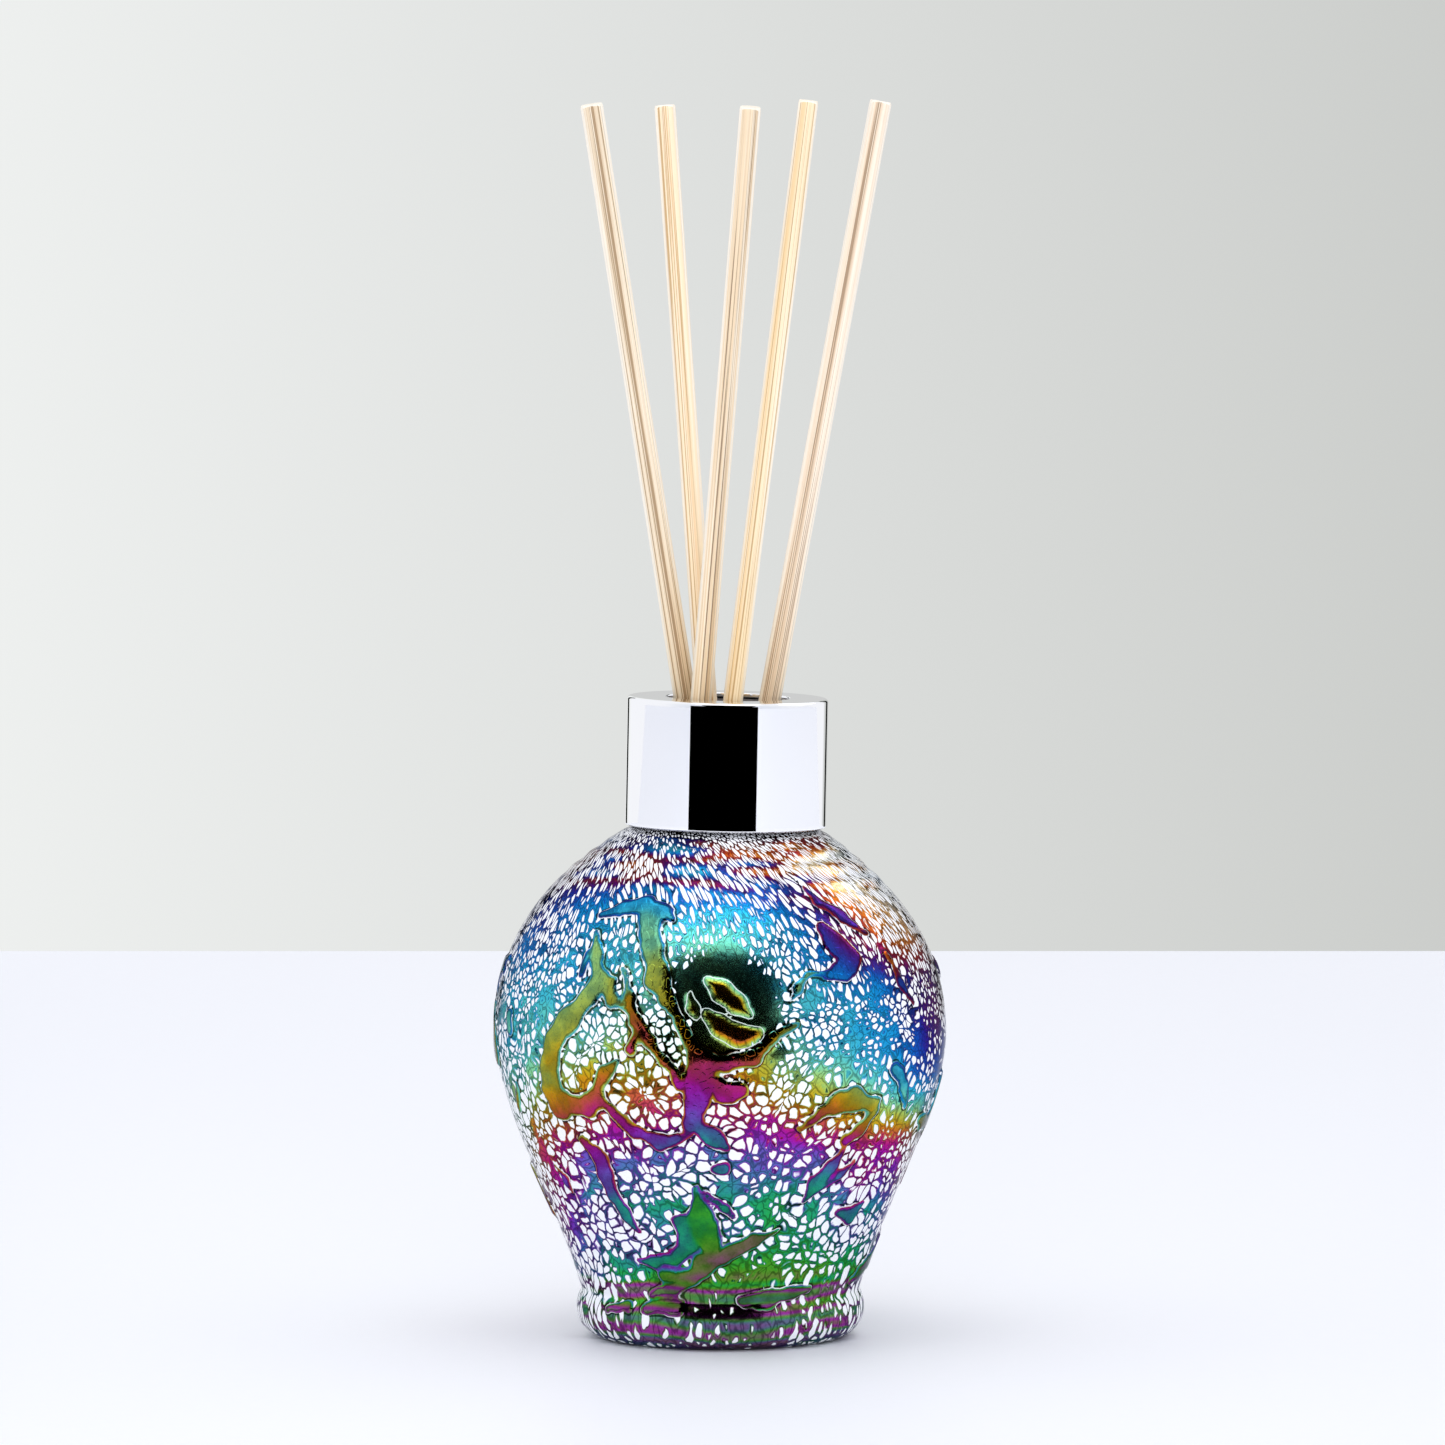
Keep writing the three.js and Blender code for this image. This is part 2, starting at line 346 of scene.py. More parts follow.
# Raised trails of lustre. Each is an extra film thickness in nanometres and a stroke, which is a
# line of (bearing, height, radius) points; touching trails run together.
TRAILS = [
    # cap and stem, upper left
    (20, [(-40, 71.8, 0.9), (-33, 73.4, 1.3), (-26, 74.0, 1.7), (-20, 73.3, 1.5), (-16, 72.2, 0.7)]),
    (60, [(-23, 72.0, 2.1), (-20, 68.4, 1.8), (-19, 66.4, 1.7)]),
    (120, [(-19, 66.4, 1.7), (-17, 63.0, 2.1), (-14, 59.7, 1.3), (-9, 55.1, 0.8), (-6, 49.5, 1.2)]),
    # hooked trail round a bare patch, left
    (130, [(-39, 69.0, 0.5), (-36, 65.6, 1.1), (-33, 61.5, 1.5), (-37, 58.5, 1.7), (-42, 55.0, 2.1)]),
    (115, [(-42, 55.0, 2.1), (-47, 51.5, 2.0), (-49, 47.5, 2.0)]),
    (40, [(-49, 47.5, 2.0), (-49, 43.6, 2.4), (-47, 41.0, 2.5)]),
    (45, [(-46, 41.6, 2.2), (-38, 41.6, 1.5), (-33, 44.0, 1.0), (-30, 47.4, 1.3), (-27, 49.4, 0.6)]),
    (120, [(-33, 61.5, 1.0), (-28, 58.8, 0.8), (-24, 57.6, 0.4)]),
    # thin branches between them
    (170, [(-27, 64.0, 0.5), (-24, 59.5, 0.8), (-22, 56.0, 1.0), (-18, 53.0, 0.9)]),
    (90, [(-18, 53.0, 0.9), (-14, 49.4, 0.8), (-10, 46.0, 1.0)]),
    (150, [(-21, 55.0, 0.6), (-23, 51.5, 1.1)]),
    (20, [(-39, 65.5, 0.9), (-40, 62.6, 0.7)]),
    (150, [(-30, 62.0, 0.8), (-29, 58.6, 1.0)]),
    # star at the centre
    (130, [(-5, 50.0, 1.8), (-5, 48.4, 2.2)]),
    (90, [(-5, 48.4, 2.2), (-5, 46.5, 2.6), (-6, 43.0, 2.0), (-8, 39.8, 1.5), (-9, 37.6, 0.8)]),
    (140, [(-5, 49.5, 1.6), (2, 49.4, 1.2), (8, 50.4, 1.2), (13, 53.2, 0.9), (20, 56.2, 0.5)]),
    (60, [(-1, 46.4, 1.0), (2, 44.6, 2.0), (6, 45.0, 1.2)]),
    (120, [(-7, 39.6, 1.3), (-2, 37.0, 1.6), (1, 35.4, 1.0)]),
    # blue leaf, its tail and the streak above it, upper right
    (-22, [(31, 71.0, 1.3), (34, 68.6, 2.2), (38, 66.2, 2.0), (34, 64.4, 1.9), (29, 63.6, 0.8)]),
    (120, [(28, 64.0, 0.5), (23, 63.8, 0.5), (20, 61.8, 0.6), (18, 59.6, 0.3)]),
    (60, [(29, 78.2, 0.4), (33, 75.3, 0.9), (40, 72.6, 1.1), (47, 70.3, 0.7)]),
    (10, [(52, 66.5, 0.6), (55, 62.0, 0.9), (59, 58.0, 0.5)]),
    # gold leaf, lower right
    (70, [(22, 38.2, 0.6), (27, 40.6, 0.9), (32, 42.3, 1.7), (37, 42.8, 2.0), (43, 42.0, 1.3),
          (46, 42.4, 0.5)]),
    (30, [(45, 40.6, 0.9), (41, 37.4, 1.3), (36, 35.8, 1.1)]),
    (40, [(50, 47.6, 1.1), (55, 44.0, 1.1), (58, 40.4, 0.6)]),
    # branch from the hooked trail to the star's foot
    (60, [(-37, 41.0, 1.0), (-33, 42.6, 0.8), (-29, 40.6, 0.9), (-23, 37.6, 1.1), (-17, 36.0, 1.5),
          (-11, 36.8, 1.1)]),
    # purple trail, lower left
    (-30, [(-41, 35.6, 1.0), (-37, 33.4, 1.4), (-36, 30.0, 1.6), (-35, 26.4, 1.3)]),
    (30, [(-35, 26.4, 1.3), (-32, 22.8, 1.1), (-29, 20.6, 0.6)]),
    (60, [(-58, 30.2, 0.5), (-55, 28.0, 0.8), (-54, 26.2, 0.4)]),
    # green spots and leaves, low front
    (50, [(-1, 31.6, 1.2), (1, 31.8, 1.2)]),
    (40, [(27, 25.6, 0.5), (30, 28.8, 1.6), (34, 31.6, 1.2), (36, 34.2, 0.6)]),
    (40, [(31, 27.8, 0.8), (38, 30.0, 0.8), (42, 31.8, 0.4)]),
    (30, [(42, 23.4, 0.9), (48, 22.4, 1.5), (52, 24.4, 0.7)]),
    # low star
    (100, [(-7, 28.2, 0.6), (-7, 23.6, 2.0), (-5, 20.6, 2.2)]),
    (150, [(-5, 20.6, 2.2), (-4, 18.4, 1.8)]),
    (40, [(-4, 27.0, 0.6), (1, 24.8, 0.8), (4, 23.2, 0.5)]),
    (40, [(-13, 22.2, 1.8), (-11, 18.6, 1.5), (-17, 15.8, 1.2), (-25, 15.0, 1.0), (-31, 15.4, 0.5)]),
    (200, [(-6, 15.4, 1.8), (3, 17.2, 1.6), (11, 19.2, 1.2), (19, 21.1, 0.4)]),
    (90, [(-6, 15.0, 1.8), (-12, 12.4, 1.4), (-20, 10.6, 1.2), (-29, 9.3, 0.7)]),
    (90, [(-22, 13.0, 1.1), (-15, 13.0, 0.8), (-10, 13.6, 1.0)]),
    # patches on the foot ring
    (90, [(9, 8.8, 1.1), (18, 9.0, 1.5), (28, 9.6, 1.4), (37, 10.2, 0.7)]),
    (60, [(-30, 7.2, 1.3), (-18, 7.5, 1.6)]),
    (60, [(-50, 6.6, 0.9), (-40, 7.1, 1.2)]),
    # flat oval and a streak at the left edge
    (40, [(-69, 54.6, 1.2), (-68, 52.8, 1.3)]),
    (60, [(-67, 44.0, 0.6), (-69, 39.6, 0.9)]),
]

# Patch above the star where the film closes up, and the lens-shaped drops that sit on it.
POOL = [(2, 66.5, 2.5), (-2, 61.5, 5.0), (5, 59.0, 5.6), (0, 55.0, 4.0)]
LENSES = [
    [(-3.5, 62.8, 0.8), (0, 61.3, 1.9), (4, 59.2, 1.7), (7, 57.4, 0.6)],
    [(-3.5, 57.2, 1.0), (0, 55.4, 1.8), (5, 53.9, 2.0), (9, 54.2, 1.3)],
    [(-8, 60.8, 0.5), (-7, 58.2, 1.0), (-6, 56.8, 0.6)],
]

# The side and back carry the same kinds of trail, placed by chance between these bearings and heights.
BACK_SEED = 41
BACK_TRAILS = 26
BACK_FROM, BACK_TO = 78, 282
BACK_LOW, BACK_HIGH = 12, 74
BACK_STEP = 0.382                        # share of that height between one trail and the next
TIP_TAPER = 0.62                         # how much narrower a trail is at its tip
TRAIL_LOW, TRAIL_HIGH = 6, 79            # heights that trails keep within
DEGREES_PER_MM = 1.8                     # of bearing, round the upper and lower body


def back_trails():
    """Branching trails for the side and back, spread evenly round and up the bottle."""
    chance = np.random.default_rng(BACK_SEED)
    trails = []
    for index in range(BACK_TRAILS):
        bearing = BACK_FROM + (BACK_TO - BACK_FROM) * (index + 0.5) / BACK_TRAILS
        bearing += chance.uniform(-4, 4)
        height = BACK_LOW + (BACK_HIGH - BACK_LOW) * ((index * BACK_STEP) % 1.0)
        height += chance.uniform(-3, 3)
        heading = chance.uniform(0, 2 * math.pi)
        for _ in range(chance.integers(1, 5)):
            bend = chance.uniform(-0.6, 0.6)
            size = chance.uniform(1.2, 2.6)
            steps = chance.integers(2, 5)
            extra = chance.uniform(30, 160)
            points = []
            place = np.array([bearing, height])
            for step in range(steps + 1):
                points.append((place[0], place[1], size * (1 - TIP_TAPER * step / steps)))
                reach = chance.uniform(2.6, 4.2)
                place = place + reach * np.array([math.sin(heading) * DEGREES_PER_MM, math.cos(heading)])
                place[1] = np.clip(place[1], TRAIL_LOW, TRAIL_HIGH)
                heading += bend
            trails.append((extra, points))
            heading += chance.uniform(1.3, 2.4)
    return trails


def skin_radius(skin):
    """A function that gives the outside radius at a height."""
    heights = skin[:, 1] + np.arange(len(skin)) * 1e-9      # np.interp needs heights that rise
    return lambda height: np.interp(height, heights, skin[:, 0])


NEAREST, FARTHEST = -12, 25              # limits of distances to a stroke, in millimetres
TINY = 1e-30                             # keeps logarithms finite


def stroke_distances(points, stroke, radius_at):
    """Signed distance from each point to each stretch of a stroke laid on the skin."""
    turn = np.radians([bearing for bearing, _, _ in stroke])
    heights = np.array([height for _, height, _ in stroke])
    sizes = np.array([size for _, _, size in stroke])
    around = radius_at(heights)
    knots = np.stack([around * np.sin(turn), -around * np.cos(turn), heights], axis=1)
    for start, end, low, high in zip(knots, knots[1:], sizes, sizes[1:]):
        line = end - start
        t = np.clip((points - start) @ line / (line @ line), 0, 1)
        away = np.linalg.norm(points - start - t[:, None] * line, axis=1)
        yield np.clip(away - (low + (high - low) * t), NEAREST, FARTHEST)


def trail_fields(points, radius_at):
    """Distance to the nearest trail (negative inside), the same smoothed, and the extra thickness."""
    tight, loose = 0.4, 1.6
    near, nearby, extra = (np.full(len(points), TINY) for _ in range(3))
    for thicker, trail in TRAILS + back_trails():
        for away in stroke_distances(points, trail, radius_at):
            weight = np.exp(-away / tight)
            near += weight
            extra += weight * thicker
            nearby += np.exp(-away / loose)
    return -tight * np.log(near), -loose * np.log(nearby), extra / near


def lens_field(points, radius_at):
    """Signed distance to the edge of the nearest lens."""
    blend, beyond = 0.3, 9.0
    nearest = np.full(len(points), beyond)
    for lens in LENSES:
        near = sum(np.exp(-away / blend) for away in stroke_distances(points, lens, radius_at))
        nearest = np.minimum(nearest, -blend * np.log(near + TINY))
    return nearest


def pool_field(points, radius_at):
    """Signed distance to the edge of the pool."""
    return np.min(list(stroke_distances(points, POOL, radius_at)), axis=0)


# ---- glass: film and crackle fields

# Optical thickness of the lustre at the front, in nanometres, against height.
FILM_HEIGHTS = (0, 3, 5, 8, 10, 14, 18, 26, 30, 34, 38, 42, 46, 50, 54, 58, 62, 70, 73, 76, 80, 85)
FILM_FRONT = (2100, 1800, 1680, 1600, 1480, 1310, 1250, 1240, 1215, 1180, 1090, 1010, 960, 870,
              810, 775, 750, 745, 710, 640, 555, 560)
FILM_MIDDLE = -8          # bearing where the film is thickest
FILM_WAVE = 0.07          # share that it varies by from place to place
# Streaks below the collar and bands round the foot: how much they change it, in nanometres, and the
# heights where they begin, hold in full, begin to fade and end. RIPPLE is the spacing of the bands.
STREAKS, STREAK_ZONE = 260, (75, 78, 83.5, 85)
RIPPLES, RIPPLE_ZONE, RIPPLE = 260, (0.5, 2.0, 10.5, 13.0), 4.5
# How much thinner it is a quarter turn to the left and to the right, against height.
THINNING_HEIGHTS = (0, 22, 34, 46, 54, 62, 70, 76, 80, 85)
THINNING_LEFT = (0.02, 0.19, 0.24, 0.22, 0.14, 0.12, 0.24, 0.17, 0.05, 0.0)
THINNING_RIGHT = (0.0, 0.08, 0.19, 0.40, 0.34, 0.28, 0.52, 0.55, 0.45, 0.30)
LEFT_POWER, RIGHT_POWER = 1.3, 2.0      # how late the thinning sets in on each side

# Crackle cells against height: width round the bottle, length up it, and how far the film reaches
# into a cell, in cell widths, at the left, front and right.
CELL_HEIGHTS = (0, 8, 16, 26, 36, 50, 60, 67, 75, 80, 85)
CELL_WIDTH = (1.6, 1.6, 1.8, 1.8, 1.8, 1.5, 1.15, 0.95, 0.84, 0.71, 0.57)
CELL_LENGTH = (6.0, 3.0, 2.1, 2.0, 2.0, 1.7, 1.5, 1.9, 3.2, 3.9, 4.2)
WEB_LEFT = (0.06, 0.03, 0.03, 0.04, 0.04, 0.07, 0.09, 0.11, 0.09, 0.07, 0.12)
WEB_FRONT = (0.24, 0.42, 0.12, 0.09, 0.07, 0.04, 0.10, 0.13, 0.09, 0.06, 0.09)
WEB_RIGHT = (0.10, 0.03, 0.09, 0.06, 0.13, 0.12, 0.11, 0.06, 0.05, 0.04, 0.10)
WEB_TURN = 58             # bearing where the left and right values hold in full
WEB_WAVE = 1.1            # share that it varies by from place to place
WEB_CLOSED = 0.3          # how much farther it reaches where cells close up
WEB_POOL = 0.6            # and in the pool

TWIST = 28                # degrees that cells slant by near the neck
TWIST_HEIGHTS = (62, 80)  # where the slant begins, and where it holds in full


def to_sides(bearing, full_turn, left, front, right):
    """front at bearing 0, turned into left and right by the bearing full_turn, in degrees."""
    sideways = np.clip(np.sin(bearing) / math.sin(math.radians(full_turn)), -1, 1)
    return front + (right - front) * np.clip(sideways, 0, 1) + (left - front) * np.clip(-sideways, 0, 1)


def film_field(bearing, heights, wave, streaks):
    """Optical thickness of the lustre over the whole skin."""
    front = np.interp(heights, FILM_HEIGHTS, FILM_FRONT)
    turn = bearing - math.radians(FILM_MIDDLE)
    sideways = np.abs(np.sin(turn))
    left = np.interp(heights, THINNING_HEIGHTS, THINNING_LEFT) * sideways**LEFT_POWER
    right = np.interp(heights, THINNING_HEIGHTS, THINNING_RIGHT) * sideways**RIGHT_POWER
    film = front * (1 - np.where(np.sin(turn) > 0, right, left))
    film = film * (1 + FILM_WAVE * wave)
    film = film + zone(heights, *STREAK_ZONE) * STREAKS * np.clip(streaks - 0.05, -0.3, 0.5)
    bands = np.sin(heights * 2 * math.pi / RIPPLE + 2.5 * wave)
    return film + zone(heights, *RIPPLE_ZONE) * RIPPLES * bands


def web_field(bearing, heights, patches, closed, pool):
    """How far the film reaches into the crackle's cells, in cell widths."""
    sides = (np.interp(heights, CELL_HEIGHTS, reach) for reach in (WEB_LEFT, WEB_FRONT, WEB_RIGHT))
    web = to_sides(bearing, WEB_TURN, *sides)
    web *= 1 + WEB_WAVE * patches
    web += WEB_CLOSED * smoothstep(0.26, 0.5, closed) * smoothstep(72, 62, heights)
    return web + WEB_POOL * smoothstep(1.5, -0.5, pool)


def crackle_field(angles, skin, lengths, push_round, push_up):
    """Coordinates that the cell pattern is read in: one unit is one cell.

    Cells are as wide and long as the tables say, follow the meridians with a slight twist near
    the neck, and are pushed by push_round and push_up, in millimetres.
    """
    radius, height = skin[:, 0], skin[:, 1]
    width = np.interp(height, CELL_HEIGHTS, CELL_WIDTH)
    length = np.interp(height, CELL_HEIGHTS, CELL_LENGTH)
    ring = radius / width
    growth = np.gradient(ring, lengths)
    climb = np.sqrt(np.clip(1 / length**2 - growth**2, 0.1 / length**2, None))
    rise = np.concatenate([[0], np.cumsum((climb[1:] + climb[:-1]) / 2 * np.diff(lengths))])
    slant = smoothstep(*TWIST_HEIGHTS, height) * math.tan(math.radians(TWIST))
    twist = np.concatenate([[0], np.cumsum((slant / radius)[1:] * np.diff(lengths))])
    turned = angles[None, :] + twist[:, None] + push_round / radius[:, None]
    level = rise[:, None] + push_up / length[:, None]
    around = ring[:, None] + push_up * growth[:, None]
    return np.stack([around * np.sin(turned), -around * np.cos(turned), level], axis=2)


def stretch_push(distance, lengths, skin):
    """How far the pattern is pushed towards a trail, so that cells beside it are drawn out."""
    drawn, reach, overlap = 2.4, 7.0, 0.8
    outside = np.clip(distance + overlap, 0, reach)
    push = np.where(outside < drawn, outside / drawn, (reach - outside) / (reach - drawn))
    by_turn = (np.roll(distance, -1, axis=1) - np.roll(distance, 1, axis=1)) / 2
    by_turn /= 2 * math.pi * skin[:, 0:1] / distance.shape[1]
    by_length = np.gradient(distance, lengths, axis=0)
    steepness = np.hypot(by_turn, by_length) + 1e-6
    return -push * by_turn / steepness, -push * by_length / steepness


# ---- glass: mesh

TRAIL_RELIEF = 0.4        # how far trails stand up
LENS_RELIEF = 0.5
RING_RELIEF = 0.10        # faint rings below the collar
UNEVEN = 0.18             # how far the body strays from its outline


def raise_skin(skin, lengths, bearing, heights, distance, lens, swell):
    """The skin's radius and height at every point, with trails, lenses, rings and unevenness raised."""
    tangent = np.gradient(skin, lengths, axis=0)
    outward = np.stack([tangent[:, 1], -tangent[:, 0]], axis=1)
    outward /= np.linalg.norm(outward, axis=1)[:, None]
    fade = smoothstep(0.6, 3.0, skin[:, 1]) * (1 - smoothstep(82, 84.4, skin[:, 1]))
    raised = TRAIL_RELIEF * smoothstep(0.3, -0.5, distance) + LENS_RELIEF * smoothstep(0.2, -1.2, lens)
    rings = RING_RELIEF * np.sin(heights * 2.6 + 0.4 * np.sin(bearing)) * smoothstep(74, 79, heights)
    offset = (raised + rings + UNEVEN * swell) * fade[:, None]
    return skin[:, 0:1] + outward[:, 0:1] * offset, skin[:, 1:2] + outward[:, 1:2] * offset


def close_glass(under, body, rest):
    """Points of the whole bottle: the plain rings under it, its skin, the plain rings inside, two poles.

    Also gives how many points come before and behind the skin.
    """
    lower, upper = under[1:], rest[:-1]
    poles = [[0, 0, under[0, 1]], [0, 0, rest[-1, 1]]]
    before, behind = ring_points(lower, COLUMNS), ring_points(upper, COLUMNS)
    points = np.concatenate([before, body, behind, poles])
    return points, len(before), len(behind) + len(poles)


def make_glass():
    """The bottle as one closed mesh, its skin fine enough for the trails' relief."""
    under, skin, rest = bottle_outline()
    angles, east, north = bearings(COLUMNS)
    rows = len(skin)
    steps = np.hypot(*np.diff(skin, axis=0).T)
    lengths = np.concatenate([[0], np.cumsum(steps)])
    bearing = np.repeat(angles[None, :], rows, axis=0)
    heights = np.repeat(skin[:, 1:2], COLUMNS, axis=1)
    flat = np.stack([skin[:, 0:1] * east, skin[:, 0:1] * north, heights], axis=2).reshape(-1, 3)
    squashed = flat * np.array([0.25, 0.25, 1.6])

    def field(values):
        return values.reshape(rows, COLUMNS)

    # edges of trails, lenses and pool wander a little
    radius_at = skin_radius(skin)
    wobble = [wander(flat, 4.0, seed) + 0.5 * wander(flat, 1.9, seed) for seed in (1, 2, 3)]
    wobble = np.stack(wobble, axis=1)
    distance, smoothed, extra = map(field, trail_fields(flat + 0.6 * wobble, radius_at))
    lens = field(lens_field(flat + 0.4 * wobble, radius_at))
    pool = field(pool_field(flat + 0.6 * wobble, radius_at))

    wave, streaks = field(wander(flat, 13.0, 4)), field(wander(squashed, 2.6, 5))
    film = film_field(bearing, heights, wave, streaks)
    film = film + extra * smoothstep(0.6, -0.4, distance)
    push_round, push_up = stretch_push(smoothed, lengths, skin)
    crackle = crackle_field(angles, skin, lengths, push_round, push_up)
    patches, closed = field(wander(flat, 9.0, 6)), field(wander(flat, 3.6, 8))
    web = web_field(bearing, heights, patches, closed, pool)

    swell = field(wander(flat, 22.0, 7))
    radius, level = raise_skin(skin, lengths, bearing, heights, distance, lens, swell)
    body = np.stack([radius * east, radius * north, level], axis=2).reshape(-1, 3)
    points, before, behind = close_glass(under, body, rest)
    piece = smooth_mesh("glass_body", lean(points), body_faces(len(points) // COLUMNS, COLUMNS))

    # values off the skin: no cells, far from any trail or lens, thin film that fills nothing
    fields = (("crackle", crackle, 0.0), ("trail", distance, 9.0), ("lens", lens, 9.0),
              ("film", film, 500.0), ("web", web, -1.0))
    for name, values, elsewhere in fields:
        values = values.reshape(rows * COLUMNS, -1)
        head = np.full((before, values.shape[1]), elsewhere)
        tail = np.full((behind, values.shape[1]), elsewhere)
        attribute(piece, name, np.squeeze(np.concatenate([head, values, tail])))
    return piece


# ---- glass: material

WAVELENGTHS = (640.0, 530.0, 460.0)      # red, green and blue light, in nanometres
FADE_AT = 2100.0                         # optical thickness, in nanometres, where colours have gone
FILM_BRIGHT = 1.00                       # most that the lustre reflects
FILM_FLOOR = 1.03                        # over 1, so that no colour gets quite black
FILM_DEPTH = 1.35                        # above 1, colours between dark and bright are deeper
# colour that painted shade darkens the lustre towards
BLACK = (0.0, 0.0, 0.0, 1.0)


def interference_colour(graph, film):
    """Colour of light from a thin film: each channel swings with the path that the film adds.

    The swing fades as the film gets thicker. The brightness also falls as the film gets thicker, and
    this is painted light: the thin film on the neck and upper right is painted brighter and the thick
    film lower down darker. It is half of the most where the film is thinnest, because the swing
    doubles it.
    """
    order = graph.math("DIVIDE", film, FADE_AT)
    fade = graph.math("EXPONENT", graph.times(graph.math("POWER", order, 4.0), -1.0))
    # painted light: brighter where the film is thin, on the neck and upper right, darker where thick
    bright = graph.times(graph.ramp(film, 420.0, 650.0, FILM_BRIGHT / 2, FILM_BRIGHT / 2.7),
                         graph.ramp(film, 650.0, 1500.0, 1.0, 0.60))
    same_peak = (1 + FILM_FLOOR) ** (1 - FILM_DEPTH)
    channels = []
    for wavelength in WAVELENGTHS:
        swing = graph.math("COSINE", graph.times(film, 2 * math.pi / wavelength))
        power = graph.math("SUBTRACT", FILM_FLOOR, graph.times(swing, fade))
        deep = graph.times(graph.math("POWER", power, FILM_DEPTH), same_peak)
        channels.append(graph.times(deep, bright))
    node = graph.node("CombineColor", {"Red": channels[0], "Green": channels[1], "Blue": channels[2]})
    return node.outputs[0]


def crackle_cells(graph, crackle, web):
    """Distance from the nearest cell wall, in cell widths, and from the edge of the film beside it.

    The pattern is bent a little, then its walls, and its corners a bit more, are filled with film.
    """
    drift = graph.noise(crackle, 1.3, detail=1.0, output="Color")
    drift = graph.vector("SCALE", graph.vector("SUBTRACT", drift, (0.5, 0.5, 0.5)), scale=0.5)
    cells = {"Vector": graph.vector("ADD", crackle, drift), "Scale": 1.0, "Randomness": 0.85}
    wall = graph.node("TexVoronoi", cells, feature="DISTANCE_TO_EDGE").outputs["Distance"]
    centre = graph.node("TexVoronoi", cells, feature="F1").outputs["Distance"]
    filling = graph.math("ADD", web, 0.035)
    corner = graph.times(graph.ramp(centre, 0.30, 0.80), filling)
    return wall, graph.math("SUBTRACT", wall, graph.math("ADD", web, corner))


def bare_glass(graph, place, inward, trail, lens, solid):
    """Two fields that are 1 where no film covers the glass: in cells alone, and in all places.

    The other places are thin white lines round trails and lenses: partly bare glass, and partly a
    painted highlight along their steep edges.
    """
    hole = graph.ramp(inward, -0.01, 0.07)
    patchy = graph.ramp(graph.noise(place, 300.0, detail=1.0), 0.42, 0.62)
    # thin white lines round trails and lenses: bare glass and a painted highlight on their edges
    bare_and_highlight_line = graph.times(graph.ramp(graph.math("ABSOLUTE", trail), 0.10, 0.04), patchy)
    bare_and_highlight_line = graph.math("MAXIMUM", bare_and_highlight_line, graph.ramp(graph.math("ABSOLUTE", lens), 0.12, 0.05))
    gaps = graph.times(hole, graph.math("SUBTRACT", 1.0, solid))
    return hole, graph.math("MAXIMUM", gaps, graph.times(bare_and_highlight_line, 0.75))


def tapered_film(graph, grain, cloud, inward, trail, lens, solid):
    """Film thickness at a point: it thins towards every edge, and a lens adds to it."""
    film = graph.read("film")
    uneven = graph.math("ADD", graph.times(grain, 0.03), graph.times(cloud, 0.09))
    trail_taper = graph.ramp(trail, 0.0, -0.6, 0.78, 0.94)
    wall_taper = graph.ramp(inward, 0.05, -0.16, 0.88, 0.97)
    taper = graph.math("ADD", graph.blend(solid, wall_taper, trail_taper), uneven)
    inside_lens = graph.ramp(lens, 0.0, -1.4, 0.0, 140.0)
    return graph.math("MULTIPLY_ADD", film, taper, inside_lens)


def film_shade(graph, place, grain, cloud, wall, inward, trail, solid):
    """How bright the film is, from 0 to 1, beside its full colour.

    It is painted shade: dark round the rims of many cells, along the walls between them, in the
    creases just outside the trails and under the collar, and faintly so along a line just inside a
    trail's edge. On trails it is painted darker in cloudy patches, for their darker reflection.
    """
    # painted shade in the creases just outside each trail, and fainter just inside its edge
    crease_shade = graph.math("ABSOLUTE", graph.math("SUBTRACT", trail, 0.24))
    crease_shade = graph.ramp(crease_shade, 0.08, 0.2, 0.15, 1.0)
    inner = graph.math("ABSOLUTE", graph.math("ADD", trail, 0.42))
    crease_shade = graph.times(crease_shade, graph.ramp(inner, 0.05, 0.16, 0.45, 1.0))
    speckle = graph.ramp(grain, 0.34, 0.56, 0.78, 1.0)
    faint = graph.noise(place, 420.0, detail=1.0)
    faint = graph.ramp(faint, 0.40, 0.60, 0.10, 0.72)
    # painted shade round the rims of cells, in patches, and along the walls between them
    rim = graph.math("ABSOLUTE", graph.math("ADD", inward, 0.035))
    rim = graph.blend(graph.ramp(rim, 0.012, 0.055), faint, 1.0)
    lines = graph.times(rim, graph.ramp(wall, 0.02, 0.09, 0.45, 1.0))
    height = graph.node("SeparateXYZ", {"Vector": place}).outputs["Z"]
    collar_shadow = graph.ramp(height, 82.2 * MM, 84.2 * MM, 1.0, 0.35)
    lines = graph.times(lines, collar_shadow)
    # painted darker reflection on trails, in cloudy patches
    mottle = graph.ramp(cloud, 0.40, 0.62, 0.50, 0.80)
    lines = graph.blend(solid, lines, mottle)
    return graph.times(crease_shade, speckle, lines)


